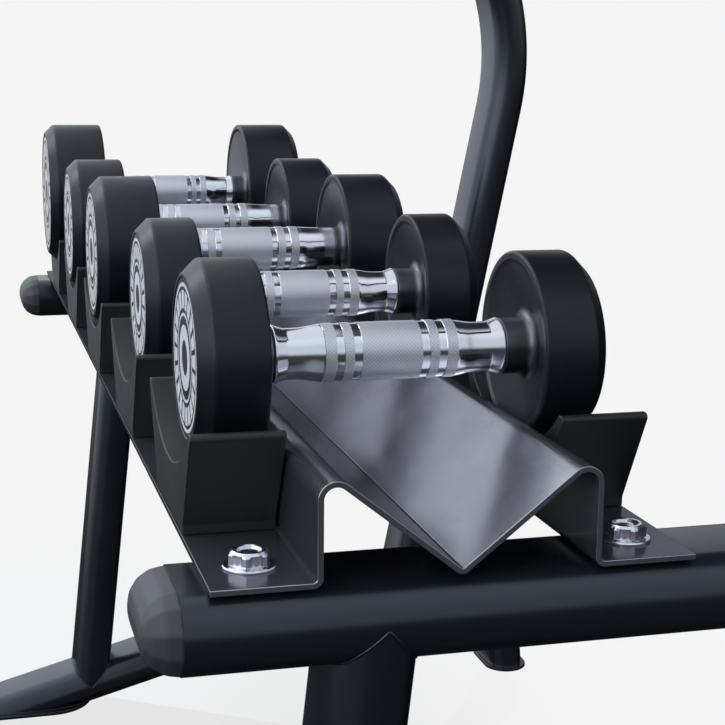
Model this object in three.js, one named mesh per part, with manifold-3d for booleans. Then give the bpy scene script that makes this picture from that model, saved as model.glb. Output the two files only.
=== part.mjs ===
// Two-tier dumbbell rack with five dumbbells on its lower tier.
// Units are millimetres. +X runs along the rack, -Y is the user's side, +Z is up.
// The origin is on the floor under the middle of the rack.
import * as THREE from 'three';
import { mergeVertices } from 'three/addons/utils/BufferGeometryUtils.js';
import Module from 'manifold-3d';

const wasm = await Module();
wasm.setup();

// ---- driving dimensions -------------------------------------------------------------------
const GAP = 0.3; // clearance between pieces that touch
const OVERLAP = 1; // how far solids run into each other before they are joined
const OVAL_STEPS = 7; // facets on each round side of the tube

const TUBE_WIDE = 80; // flat-oval tube, wide axis along X
const TUBE_THIN = 40;
const TUBE_WALL = 3;

const FRAME_SPACING = 1063; // between the middle planes of the two end frames
const LOWER_ARM_Z = 482; // axis height of the lower crossbar
const ARM_FRONT_Y = -233.5; // where the crossbars end and their caps begin
const CAP_LENGTH = 19;
const CAP_ROUND = 18; // how far the dome draws in from the tube's outline
const CAP_RINGS = 6;
const CAP_PLUG = 18; // how far the cap's plug reaches into the tube

const LEG_Y = -138; // leg axis where it meets the lower crossbar
const LEG_LEAN = THREE.MathUtils.degToRad(6.1); // foot forward

const BASE_SLOPE = THREE.MathUtils.degToRad(15);
const BASE_FRONT_Y = -267.7; // base tube axis where it meets the front foot plate
const BACK_FOOT_Y = 327.5; // vertical end of the base tube
const BASE_BEND = 120; // centre-line radius of its back bend
const BASE_BEND_STEPS = 7;
const BELOW_FLOOR = 30; // how far the base tube's path runs on before it is cut level

const UPRIGHT_Y = 266; // upright axis at the height of the lower crossbar
const UPRIGHT_FOOT_Z = 126; // where its axis meets the axis of the base tube
const UPRIGHT_LEAN = THREE.MathUtils.degToRad(11.2);
const UPRIGHT_BEND_Z = 692; // height where the upright starts to bend forward
const UPRIGHT_BEND = 280; // centre-line radius of that bend
const UPRIGHT_BEND_STEPS = 10;

const PLATE = 4; // foot plate thickness
const PLATE_MARGIN = 6; // around the foot of the tube

const TRAY_LENGTH = 1125;
const TRAY_Y = -100; // middle line of both trays
const SHEET = 3;
const TRAY_HALF_WIDTH = 120.5;
const WEB_HALF_WIDTH = 70.5; // outer faces of the upright webs
const RIDGE_HEIGHT = 51; // top of the ridges above the underside of the flanges
const RIDGE_RADIUS = 9; // outside bend radius of the ridges
const RIDGE_STEPS = 5;
const VALLEY_RISE = 1; // clearance of the valley above the crossbar
const BOLT_OFFSET_Y = 96.5;
const BOLT_RADIUS = 6;
const BOLT_HEAD = 7;
const BOLT_HOLE_RADIUS = 6.5;
const BOLT_HOLE_DEPTH = 12; // of the cutting tool
const BOLT_SIDES = 12;
const WASHER_RADIUS = 13;
const WASHER_THICKNESS = 1.4;
const WASHER_SIDES = 24;
const NUT_RADIUS = 10.6; // to the corners
const NUT_HEIGHT = 7.4;

const DUMBBELL_PITCH = 214;
const DUMBBELL_COUNT = 5;

const SADDLE_FOOT = 97; // length along X at the flange
const SADDLE_TOP = 154;
const SADDLE_HEIGHT = 57.5;
const SADDLE_WIDTH = 48;
const SADDLE_STEP = 5; // height of the upright edge at its foot
const SADDLE_OFFSET_Y = 96; // middle of each saddle row from the tray's middle line
const CRADLE_RADIUS = 100;
const CRADLE_FLOOR = 29; // above the flange

const HEAD_INNER = 73; // inner rim of each head from the middle of the handle
const HEAD_CHAMFER = 8;
const HEAD_RIM = 7; // width of the inner rim
const HEAD_ROUND = 2; // rounding of the inner rim's corner
const HEAD_DISH = 9; // how deep the inner face is dished
const HUB_RADIUS = 15.5;
const STUB_RADIUS = 12; // end of the handle inside the head
const STUB_LENGTH = 22;
const COLLAR_RADIUS = 16;
const COLLAR_LENGTH = 7;
const NECK_LENGTH = 4; // from the collar to the narrowest place of the handle
const HEAD_SIDES = 20;
const HANDLE_SIDES = 12;
// From the right end of the rack. hub: how far a head's hub stands out from its inner rim.
// knurlEnd: end of the grip from its middle. neck: narrowest radius of the handle.
// shift: how far the dumbbell sits back from the tray's middle line.
const DUMBBELLS = [
  { radius: 52.5, thickness: 37, hub: 8.5, grip: 15.5, knurlEnd: 37, neck: 13.9, shift: -1.2 },
  { radius: 52.5, thickness: 37, hub: 8.5, grip: 15.5, knurlEnd: 37, neck: 13.9, shift: 0 },
  { radius: 58.5, thickness: 48.5, hub: 0, grip: 17, knurlEnd: 42.5, neck: 15.9, shift: 1.2 },
  { radius: 58.5, thickness: 48.5, hub: 0, grip: 17, knurlEnd: 42.5, neck: 15.9, shift: 0 },
  { radius: 70, thickness: 56, hub: 6.5, grip: 17, knurlEnd: 36, neck: 15.2, shift: 2 },
];

// ---- materials ----------------------------------------------------------------------------
const paint = new THREE.MeshStandardMaterial({ color: 0x1b1d21, roughness: 0.45, metalness: 0.2 });
const trayPaint = new THREE.MeshStandardMaterial({ color: 0x4a4a50, roughness: 0.35, metalness: 0.7 });
const plastic = new THREE.MeshStandardMaterial({ color: 0x141618, roughness: 0.6, metalness: 0 });
const rubber = new THREE.MeshStandardMaterial({ color: 0x17191c, roughness: 0.7, metalness: 0 });
const chrome = new THREE.MeshStandardMaterial({ color: 0xc8ccd2, roughness: 0.15, metalness: 1 });
const zinc = new THREE.MeshStandardMaterial({ color: 0xd0d3d6, roughness: 0.25, metalness: 1 });

// ---- solids -------------------------------------------------------------------------------
const rack = new THREE.Group();

function toSolid(geometry) {
  const bare = geometry.clone();
  bare.deleteAttribute('normal');
  bare.deleteAttribute('uv');
  const merged = mergeVertices(bare, 1e-4);
  return new wasm.Manifold(new wasm.Mesh({
    numProp: 3,
    vertProperties: new Float32Array(merged.attributes.position.array),
    triVerts: new Uint32Array(merged.index.array),
  }));
}

function toGeometry(solid) {
  const mesh = solid.getMesh();
  const geometry = new THREE.BufferGeometry();
  geometry.setAttribute('position', new THREE.BufferAttribute(new Float32Array(mesh.vertProperties), 3));
  geometry.setIndex(new THREE.BufferAttribute(new Uint32Array(mesh.triVerts), 1));
  geometry.computeVertexNormals();
  return geometry;
}

function addPiece(name, geometry, material, x = 0, y = 0, z = 0) {
  const mesh = new THREE.Mesh(geometry, material);
  mesh.name = name;
  mesh.position.set(x, y, z);
  rack.add(mesh);
  return mesh;
}

// Flat-oval outline: two straight sides joined by two half circles, wide along its own x.
function ovalOutline(wide, thin) {
  const radius = thin / 2;
  const straight = (wide - thin) / 2;
  return Array.from({ length: 2 * OVAL_STEPS + 2 }, (_, i) => {
    const rightHalf = i <= OVAL_STEPS;
    const angle = ((rightHalf ? i : i - 1) * Math.PI) / OVAL_STEPS - Math.PI / 2;
    return new THREE.Vector2(
      (rightHalf ? straight : -straight) + radius * Math.cos(angle), radius * Math.sin(angle));
  });
}

// Mitred direction across a path of points at point i, long enough to keep the width in a corner.
function acrossPath(points, i) {
  const here = points[i];
  const before = points[i - 1] ?? here.clone().multiplyScalar(2).sub(points[i + 1]);
  const after = points[i + 1] ?? here.clone().multiplyScalar(2).sub(points[i - 1]);
  const inward = here.clone().sub(before).normalize();
  const onward = after.clone().sub(here).normalize();
  const along = inward.add(onward).normalize();
  return new THREE.Vector2(-along.y, along.x).divideScalar(along.dot(onward));
}

// Solid lofted through flat ovals at points of the YZ plane, each with its wide axis along X.
function ovalLoft(points, wides, thins) {
  const rings = points.map((point, i) => {
    const across = acrossPath(points, i);
    return ovalOutline(wides[i], thins[i]).map(
      (p) => [p.x, point.x + across.x * p.y, point.y + across.y * p.y]);
  });
  const sides = rings[0].length;
  const triangles = [];
  for (let ring = 0; ring + 1 < rings.length; ring += 1) {
    for (let k = 0; k < sides; k += 1) {
      const a = ring * sides + k;
      const b = ring * sides + ((k + 1) % sides);
      triangles.push(a, a + sides, b, b, a + sides, b + sides);
    }
  }
  const last = (rings.length - 1) * sides;
  const lid = THREE.ShapeUtils.triangulateShape(ovalOutline(TUBE_WIDE, TUBE_THIN), []);
  lid.forEach(([a, b, c]) => triangles.push(a, b, c, last + a, last + c, last + b));
  const geometry = new THREE.BufferGeometry();
  geometry.setAttribute('position', new THREE.Float32BufferAttribute(rings.flat(2), 3));
  geometry.setIndex(triangles);
  return toSolid(geometry);
}

function ovalBar(points, wide, thin) {
  return ovalLoft(points, points.map(() => wide), points.map(() => thin));
}

// Points of an arc in the YZ plane, from one angle to another about a centre.
function arcPoints(centre, radius, from, to, steps) {
  return Array.from({ length: steps + 1 }, (_, i) => {
    const angle = from + ((to - from) * i) / steps;
    return new THREE.Vector2(centre.x + radius * Math.cos(angle), centre.y + radius * Math.sin(angle));
  });
}

function box(sizeX, sizeY, sizeZ, x, y, z) {
  return toSolid(new THREE.BoxGeometry(sizeX, sizeY, sizeZ).translate(x, y, z));
}

function rod(radius, length, sides, x, y, z) {
  const geometry = new THREE.CylinderGeometry(radius, radius, length, sides);
  return toSolid(geometry.rotateX(Math.PI / 2).translate(x, y, z));
}

// Shape turned about the Y axis, from a profile of [radius, distance along Y].
function turned(profile, sides) {
  return new THREE.LatheGeometry(profile.map(([r, h]) => new THREE.Vector2(r, h)), sides);
}

// ---- end frames ---------------------------------------------------------------------------
const FLOOR_SPAN = 2000; // larger than the rack, for cutting tools
const INNER_WIDE = TUBE_WIDE - 2 * TUBE_WALL;
const INNER_THIN = TUBE_THIN - 2 * TUBE_WALL;

function basePath() {
  const slope = Math.tan(BASE_SLOPE);
  const bendStart = new THREE.Vector2();
  const bendCentre = new THREE.Vector2(BACK_FOOT_Y - BASE_BEND, 0);
  bendStart.x = bendCentre.x - BASE_BEND * Math.sin(BASE_SLOPE);
  bendStart.y = PLATE + (bendStart.x - BASE_FRONT_Y) * slope;
  bendCentre.y = bendStart.y - BASE_BEND * Math.cos(BASE_SLOPE);
  const front = new THREE.Vector2(BASE_FRONT_Y - BELOW_FLOOR / slope, PLATE - BELOW_FLOOR);
  const bend = arcPoints(bendCentre, BASE_BEND, Math.PI / 2 + BASE_SLOPE, 0, BASE_BEND_STEPS);
  return [front, ...bend, new THREE.Vector2(BACK_FOOT_Y, -BELOW_FLOOR)];
}

function uprightPath() {
  const start = new THREE.Vector2(
    UPRIGHT_Y + (UPRIGHT_BEND_Z - LOWER_ARM_Z) * Math.tan(UPRIGHT_LEAN), UPRIGHT_BEND_Z);
  const centre = new THREE.Vector2(
    start.x - UPRIGHT_BEND * Math.cos(UPRIGHT_LEAN), start.y + UPRIGHT_BEND * Math.sin(UPRIGHT_LEAN));
  const bend = arcPoints(centre, UPRIGHT_BEND, -UPRIGHT_LEAN, Math.PI / 2, UPRIGHT_BEND_STEPS);
  const foot = new THREE.Vector2(
    UPRIGHT_Y - (LOWER_ARM_Z - UPRIGHT_FOOT_Z) * Math.tan(UPRIGHT_LEAN), UPRIGHT_FOOT_Z);
  return [foot, ...bend, new THREE.Vector2(ARM_FRONT_Y, centre.y + UPRIGHT_BEND)];
}

// The leg runs from the axis of the base tube to the axis of the lower crossbar.
function legPath() {
  const slope = Math.tan(BASE_SLOPE);
  const lean = Math.tan(LEG_LEAN);
  const footY = LEG_Y - LOWER_ARM_Z * lean; // where the axis would reach the floor
  const footZ = (PLATE + (footY - BASE_FRONT_Y) * slope) / (1 - slope * lean);
  return [new THREE.Vector2(footY + footZ * lean, footZ), new THREE.Vector2(LEG_Y, LOWER_ARM_Z)];
}

const UPPER_ARM_Z = uprightPath().at(-1).y; // axis height of the upper arm
const LOWER_ARM_PATH = [
  new THREE.Vector2(ARM_FRONT_Y, LOWER_ARM_Z), new THREE.Vector2(UPRIGHT_Y, LOWER_ARM_Z)];

// A tube hollowed by its bore, then coped against its neighbours with the usual gap.
function tube(path, neighbours = [], cuts = []) {
  const outer = ovalBar(path, TUBE_WIDE, TUBE_THIN);
  const bore = ovalBar(stretchEnds(path, OVERLAP), INNER_WIDE, INNER_THIN);
  const coped = neighbours.reduce((solid, other) => solid.subtract(other), outer.subtract(bore));
  return cuts.reduce((solid, cut) => solid.subtract(cut), coped);
}

function stretchEnds(path, extra) {
  const first = path[0].clone().add(path[0].clone().sub(path[1]).setLength(extra));
  const last = path.at(-1).clone().add(path.at(-1).clone().sub(path.at(-2)).setLength(extra));
  return [first, ...path.slice(1, -1), last];
}

// The same tube swollen by the gap, to cope another tube against it.
function swollen(path) {
  return ovalBar(path, TUBE_WIDE + 2 * GAP, TUBE_THIN + 2 * GAP);
}

function boltHole(x, y, z) {
  return rod(BOLT_HOLE_RADIUS, BOLT_HOLE_DEPTH, BOLT_SIDES, x, y, z);
}

function armHoles(armZ) {
  return [-1, 1].map((side) => boltHole(0, TRAY_Y + side * BOLT_OFFSET_Y, armZ + TUBE_THIN / 2));
}

const belowPlate = box(
  FLOOR_SPAN, FLOOR_SPAN, FLOOR_SPAN, 0, 0, PLATE + GAP - FLOOR_SPAN / 2);
const baseTube = tube(basePath(), [], [belowPlate]);
const legTube = tube(legPath(), [swollen(basePath()), swollen(LOWER_ARM_PATH)]);
const lowerArm = tube(LOWER_ARM_PATH, [swollen(uprightPath())], armHoles(LOWER_ARM_Z));
const uprightTube = tube(uprightPath(), [swollen(basePath())], armHoles(UPPER_ARM_Z));

// Domed end cap: oval rings that shrink towards the front, and a plug that sits inside the tube.
function capGeometry() {
  const rings = Array.from({ length: CAP_RINGS }, (_, i) => (i / CAP_RINGS) * (Math.PI / 2));
  const points = rings.map((angle) => new THREE.Vector2(-GAP - CAP_LENGTH * Math.sin(angle), 0));
  const inset = rings.map((angle) => CAP_ROUND * (1 - Math.cos(angle)));
  const dome = ovalLoft(
    points.reverse(),
    inset.map((d) => TUBE_WIDE - 2 * d).reverse(),
    inset.map((d) => TUBE_THIN - 2 * d).reverse());
  const plug = [new THREE.Vector2(-OVERLAP, 0), new THREE.Vector2(CAP_PLUG, 0)];
  return toGeometry(dome.add(ovalBar(plug, INNER_WIDE - 2 * GAP, INNER_THIN - 2 * GAP)));
}

// Flat-oval plate on the floor, with a margin around a tube whose cut foot has that length along Y.
function footPlate(footLength) {
  const sizeX = TUBE_WIDE + 2 * PLATE_MARGIN;
  const sizeY = footLength + 2 * PLATE_MARGIN;
  const shape = new THREE.Shape(ovalOutline(Math.max(sizeX, sizeY), Math.min(sizeX, sizeY)));
  const geometry = new THREE.ExtrudeGeometry(shape, { depth: PLATE, bevelEnabled: false });
  return sizeX > sizeY ? geometry : geometry.rotateZ(Math.PI / 2);
}

const FRONT_FOOT_LENGTH = TUBE_THIN / Math.sin(BASE_SLOPE); // the sloping tube is cut level

function addEndFrame(side, x) {
  addPiece(`${side}_base_tube`, toGeometry(baseTube), paint, x);
  addPiece(`${side}_front_leg`, toGeometry(legTube), paint, x);
  addPiece(`${side}_lower_crossbar`, toGeometry(lowerArm), paint, x);
  addPiece(`${side}_upright`, toGeometry(uprightTube), paint, x);
  addPiece(`${side}_lower_end_cap`, capGeometry(), plastic, x, ARM_FRONT_Y, LOWER_ARM_Z);
  addPiece(`${side}_upper_end_cap`, capGeometry(), plastic, x, ARM_FRONT_Y, UPPER_ARM_Z);
  addPiece(`${side}_front_foot_plate`, footPlate(FRONT_FOOT_LENGTH), paint, x, BASE_FRONT_Y);
  addPiece(`${side}_back_foot_plate`, footPlate(TUBE_THIN), paint, x, BACK_FOOT_Y);
}

addEndFrame('right', FRAME_SPACING / 2);
addEndFrame('left', -FRAME_SPACING / 2);

// ---- trays --------------------------------------------------------------------------------
// Middle line of the right half of the W-shaped sheet, from the valley to the flange's edge.
function halfTrayLine() {
  const bend = RIDGE_RADIUS - SHEET / 2;
  const valley = new THREE.Vector2(0, SHEET / 2 + VALLEY_RISE);
  const centre = new THREE.Vector2(WEB_HALF_WIDTH - RIDGE_RADIUS, RIDGE_HEIGHT - RIDGE_RADIUS);
  const toCentre = centre.clone().sub(valley);
  const slope = toCentre.angle() + Math.asin(bend / toCentre.length());
  const ridge = arcPoints(centre, bend, slope + Math.PI / 2, 0, RIDGE_STEPS);
  return [
    valley, ...ridge, new THREE.Vector2(WEB_HALF_WIDTH - SHEET / 2, SHEET / 2),
    new THREE.Vector2(TRAY_HALF_WIDTH, SHEET / 2),
  ];
}

// The sheet: its middle line offset to both sides and extruded along the rack.
function traySolid() {
  const half = halfTrayLine();
  const mirrored = half.slice(1).map((p) => new THREE.Vector2(-p.x, p.y)).reverse();
  const line = [...mirrored, ...half];
  const offset = (distance) => line.map(
    (point, i) => point.clone().addScaledVector(acrossPath(line, i), distance));
  const shape = new THREE.Shape([...offset(-SHEET / 2), ...offset(SHEET / 2).reverse()]);
  const geometry = new THREE.ExtrudeGeometry(shape, { depth: TRAY_LENGTH, bevelEnabled: false });
  geometry.rotateX(Math.PI / 2).rotateZ(Math.PI / 2).translate(-TRAY_LENGTH / 2, 0, 0);
  return toSolid(geometry);
}

function trayWithHoles() {
  const holes = [-1, 1].flatMap((end) => [-1, 1].map(
    (side) => boltHole((end * FRAME_SPACING) / 2, side * BOLT_OFFSET_Y, 0)));
  return toGeometry(holes.reduce((solid, hole) => solid.subtract(hole), traySolid()));
}

const LOWER_FLANGE_Z = LOWER_ARM_Z + TUBE_THIN / 2 + GAP; // underside of the flanges
const UPPER_FLANGE_Z = UPPER_ARM_Z + TUBE_THIN / 2 + GAP;
addPiece('lower_tray', trayWithHoles(), trayPaint, 0, TRAY_Y, LOWER_FLANGE_Z);
addPiece('upper_tray', trayWithHoles(), trayPaint, 0, TRAY_Y, UPPER_FLANGE_Z);

// ---- tray bolts ---------------------------------------------------------------------------
// One bolt with its head inside the crossbar, and its washer and hexagon nut on the flange.
function boltGeometry() {
  const clamped = TUBE_WALL + GAP + SHEET + GAP; // from inside the tube wall to under the washer
  const washerBase = SHEET + GAP;
  const nutTop = washerBase + WASHER_THICKNESS + NUT_HEIGHT;
  const nutLength = nutTop - washerBase - OVERLAP;
  const headTop = washerBase - clamped - GAP;
  const shankTop = nutTop - OVERLAP;
  const shankLength = shankTop - headTop + OVERLAP;
  return toGeometry(
    rod(WASHER_RADIUS, WASHER_THICKNESS, WASHER_SIDES, 0, 0, washerBase + WASHER_THICKNESS / 2)
      .add(rod(NUT_RADIUS, nutLength, 6, 0, 0, nutTop - nutLength / 2))
      .add(rod(BOLT_RADIUS, shankLength, BOLT_SIDES, 0, 0, shankTop - shankLength / 2))
      .add(rod(NUT_RADIUS, BOLT_HEAD, 6, 0, 0, headTop - BOLT_HEAD / 2)));
}

for (const [endName, end] of [['right', 1], ['left', -1]]) {
  for (const [rowName, row] of [['front', -1], ['back', 1]]) {
    const x = (end * FRAME_SPACING) / 2;
    const y = TRAY_Y + row * BOLT_OFFSET_Y;
    addPiece(`${endName}_${rowName}_tray_bolt`, boltGeometry(), zinc, x, y, LOWER_FLANGE_Z);
  }
}

// ---- saddles ------------------------------------------------------------------------------
function saddleGeometry() {
  const foot = SADDLE_FOOT / 2;
  const top = SADDLE_TOP / 2;
  const rise = CRADLE_FLOOR + CRADLE_RADIUS - SADDLE_HEIGHT;
  const reach = Math.asin(Math.sqrt(CRADLE_RADIUS ** 2 - rise ** 2) / CRADLE_RADIUS);
  const shape = new THREE.Shape();
  shape.moveTo(-foot, 0);
  shape.lineTo(foot, 0);
  shape.lineTo(foot, SADDLE_STEP);
  shape.lineTo(top, SADDLE_HEIGHT);
  shape.absarc(
    0, CRADLE_FLOOR + CRADLE_RADIUS, CRADLE_RADIUS, reach - Math.PI / 2, -reach - Math.PI / 2, true);
  shape.lineTo(-top, SADDLE_HEIGHT);
  shape.lineTo(-foot, SADDLE_STEP);
  shape.closePath();
  const geometry = new THREE.ExtrudeGeometry(
    shape, { depth: SADDLE_WIDTH, bevelEnabled: false, curveSegments: 4 });
  return geometry.rotateX(Math.PI / 2).translate(0, SADDLE_WIDTH / 2, 0);
}

const FIRST_X = ((DUMBBELL_COUNT - 1) / 2) * DUMBBELL_PITCH;
for (const [tier, flange] of [['lower', LOWER_FLANGE_Z], ['upper', UPPER_FLANGE_Z]]) {
  for (const [rowName, row] of [['front', -1], ['back', 1]]) {
    for (let k = 0; k < DUMBBELL_COUNT; k += 1) {
      const y = TRAY_Y + row * SADDLE_OFFSET_Y;
      addPiece(`${tier}_${rowName}_saddle_${k + 1}`, saddleGeometry(), plastic,
        FIRST_X - k * DUMBBELL_PITCH, y, flange + SHEET + GAP);
    }
  }
}

// ---- dumbbells ----------------------------------------------------------------------------
// Head from the middle of its blind socket round the hub, the dished inner face and the rim
// to the middle of its outer face. Its inner rim is at zero.
function headGeometry({ radius, thickness, hub }) {
  const socketRadius = STUB_RADIUS + GAP;
  const socketEnd = STUB_LENGTH - hub + GAP;
  return turned([
    [0, socketEnd], [socketRadius, socketEnd], [socketRadius, -hub], [HUB_RADIUS, -hub],
    [HUB_RADIUS, HEAD_DISH], [radius - HEAD_RIM, 0], [radius - HEAD_ROUND, 0], [radius, HEAD_ROUND],
    [radius, thickness - HEAD_CHAMFER], [radius - HEAD_CHAMFER, thickness], [0, thickness],
  ], HEAD_SIDES);
}

// Ergonomic handle: a stub in each head, then collar, narrow neck and a thicker grip.
function handleGeometry({ hub, grip, neck, knurlEnd }) {
  const collarEnd = HEAD_INNER - hub - GAP;
  const collarStart = collarEnd - COLLAR_LENGTH;
  const half = [
    [0, collarEnd + STUB_LENGTH], [STUB_RADIUS, collarEnd + STUB_LENGTH], [STUB_RADIUS, collarEnd],
    [COLLAR_RADIUS, collarEnd], [COLLAR_RADIUS, collarStart], [neck, collarStart - NECK_LENGTH],
    [grip, knurlEnd],
  ];
  const profile = [...half.map(([r, y]) => [r, -y]), ...half.reverse()];
  return turned(profile, HANDLE_SIDES);
}

DUMBBELLS.forEach((size, k) => {
  const axisZ = LOWER_FLANGE_Z + SHEET + 2 * GAP + CRADLE_FLOOR + size.radius;
  const bell = new THREE.Group();
  bell.position.set(FIRST_X - k * DUMBBELL_PITCH, TRAY_Y + size.shift, axisZ);
  rack.add(bell);
  const pieces = [
    ['handle', handleGeometry(size), chrome, 0, 0],
    ['back_head', headGeometry(size), rubber, HEAD_INNER, 0],
    ['front_head', headGeometry(size), rubber, -HEAD_INNER, Math.PI],
  ];
  pieces.forEach(([label, geometry, material, y, turn]) => {
    const mesh = new THREE.Mesh(geometry, material);
    mesh.name = `dumbbell_${k + 1}_${label}`;
    mesh.position.y = y;
    mesh.rotation.x = turn;
    bell.add(mesh);
  });
});

export default rack;
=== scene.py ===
"""Looks of a dumbbell rack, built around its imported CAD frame.

Metres. +X runs along the rack, -Y is the user's side, +Z is up, and the floor is at Z = 0.
"""
import math

import bmesh
import bpy
from mathutils import Matrix, Vector


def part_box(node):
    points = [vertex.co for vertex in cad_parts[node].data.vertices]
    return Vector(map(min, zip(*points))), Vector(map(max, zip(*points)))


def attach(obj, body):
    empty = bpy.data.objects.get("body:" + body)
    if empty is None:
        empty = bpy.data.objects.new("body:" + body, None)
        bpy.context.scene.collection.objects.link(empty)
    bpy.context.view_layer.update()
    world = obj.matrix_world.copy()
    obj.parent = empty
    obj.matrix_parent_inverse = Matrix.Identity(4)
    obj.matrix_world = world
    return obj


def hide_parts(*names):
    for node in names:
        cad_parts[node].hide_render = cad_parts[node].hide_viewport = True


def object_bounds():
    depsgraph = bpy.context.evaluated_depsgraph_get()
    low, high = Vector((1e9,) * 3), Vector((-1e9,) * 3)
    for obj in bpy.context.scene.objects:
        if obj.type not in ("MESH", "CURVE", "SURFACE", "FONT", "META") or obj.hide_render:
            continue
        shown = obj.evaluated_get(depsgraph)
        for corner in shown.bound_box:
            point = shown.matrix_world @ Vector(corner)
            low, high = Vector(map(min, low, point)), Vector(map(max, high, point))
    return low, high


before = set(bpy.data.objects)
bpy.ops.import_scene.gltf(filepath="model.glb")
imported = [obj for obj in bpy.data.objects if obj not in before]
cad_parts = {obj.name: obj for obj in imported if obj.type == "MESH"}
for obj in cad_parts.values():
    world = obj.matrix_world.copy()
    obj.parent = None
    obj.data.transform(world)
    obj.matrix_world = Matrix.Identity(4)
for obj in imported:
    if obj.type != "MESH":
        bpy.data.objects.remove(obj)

CAD_LOW, CAD_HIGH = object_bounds()
scene = bpy.context.scene
MM = 0.001
FULL_TURN = 2 * math.pi


# ---- camera -------------------------------------------------------------------------------
CAMERA_PLACE = Vector((1.2261, -0.3288, 0.7399))
CAMERA_FORWARD = Vector((-0.9483, 0.2552, -0.1887))
CAMERA_ROLL = math.radians(0.575)
CAMERA_LENS = 77.12  # millimetres, on a sensor 36 mm wide


def make_camera():
    data = bpy.data.cameras.new("camera")
    data.lens = CAMERA_LENS
    data.sensor_width = 36.0
    data.clip_start = 0.01
    camera = bpy.data.objects.new("camera", data)
    forward = CAMERA_FORWARD.normalized()
    level = forward.cross(Vector((0, 0, 1))).normalized()
    above = level.cross(forward)
    right = level * math.cos(CAMERA_ROLL) + above * math.sin(CAMERA_ROLL)
    up = above * math.cos(CAMERA_ROLL) - level * math.sin(CAMERA_ROLL)
    camera.matrix_world = Matrix((
        (right.x, up.x, -forward.x, CAMERA_PLACE.x),
        (right.y, up.y, -forward.y, CAMERA_PLACE.y),
        (right.z, up.z, -forward.z, CAMERA_PLACE.z),
        (0, 0, 0, 1)))
    scene.collection.objects.link(camera)
    scene.camera = camera


make_camera()


# ---- sizes read from the frame ------------------------------------------------------------
def centre(node):
    low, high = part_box(node)
    return (low + high) / 2


def extent(node):
    low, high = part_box(node)
    return high - low


TUBE_WIDE = extent("right_lower_crossbar").x
TUBE_THIN = extent("right_lower_crossbar").z
LOWER_ARM_Z = centre("right_lower_crossbar").z
UPPER_ARM_Z = centre("right_upper_end_cap").z
ARM_FRONT_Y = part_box("right_lower_crossbar")[0].y
CAP_TIP_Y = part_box("right_lower_end_cap")[0].y
BASE_FRONT_Y = centre("right_front_foot_plate").y
BACK_FOOT_Y = centre("right_back_foot_plate").y
PLATE = extent("right_back_foot_plate").z
TRAY_Y = centre("lower_tray").y

# The rest of the driving dimensions, the same as the CAD model's.
BASE_SLOPE = math.radians(15)
BASE_BEND = 120 * MM
LEG_Y = -138 * MM
LEG_LEAN = math.radians(6.1)
UPRIGHT_Y = 266 * MM
UPRIGHT_FOOT_Z = 126 * MM
UPRIGHT_LEAN = math.radians(11.2)
UPRIGHT_BEND = 280 * MM
SHEET = 3 * MM
WEB_HALF_WIDTH = 70.5 * MM
RIDGE_RADIUS = 9 * MM
VALLEY_RISE = 1 * MM
BOLT_OFFSET_Y = 96.5 * MM
SADDLE_FOOT = 97 * MM
SADDLE_STEP = 5 * MM
CRADLE_RADIUS = 100 * MM
CRADLE_FLOOR = 29 * MM
HEAD_INNER = 73 * MM
HEAD_CHAMFER = 8 * MM

SIDES = ("right", "left")
ROWS = (("front", -1), ("back", 1))
TIERS = ("lower", "upper")
COUNT = 5


# ---- node trees ---------------------------------------------------------------------------
class Nodes:
    """A node tree and short calls that add nodes to it."""

    def __init__(self, tree):
        self.tree = tree

    def node(self, kind, **values):
        made = self.tree.nodes.new(kind)
        for name, value in values.items():
            setattr(made, name, value)
        return made

    def feed(self, socket, value):
        """Links a socket to another node's output, or gives it a plain value."""
        if isinstance(value, bpy.types.NodeSocket):
            self.tree.links.new(value, socket)
        else:
            socket.default_value = value

    def math(self, operation, *values):
        made = self.node("ShaderNodeMath", operation=operation)
        for socket, value in zip(made.inputs, values):
            self.feed(socket, value)
        return made.outputs["Value"]

    def ranged(self, value, low, high, to_low, to_high, curve="LINEAR"):
        made = self.node("ShaderNodeMapRange", interpolation_type=curve)
        self.feed(made.inputs["Value"], value)
        self.feed(made.inputs["From Min"], low)
        self.feed(made.inputs["From Max"], high)
        self.feed(made.inputs["To Min"], to_low)
        self.feed(made.inputs["To Max"], to_high)
        return made.outputs["Result"]


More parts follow.
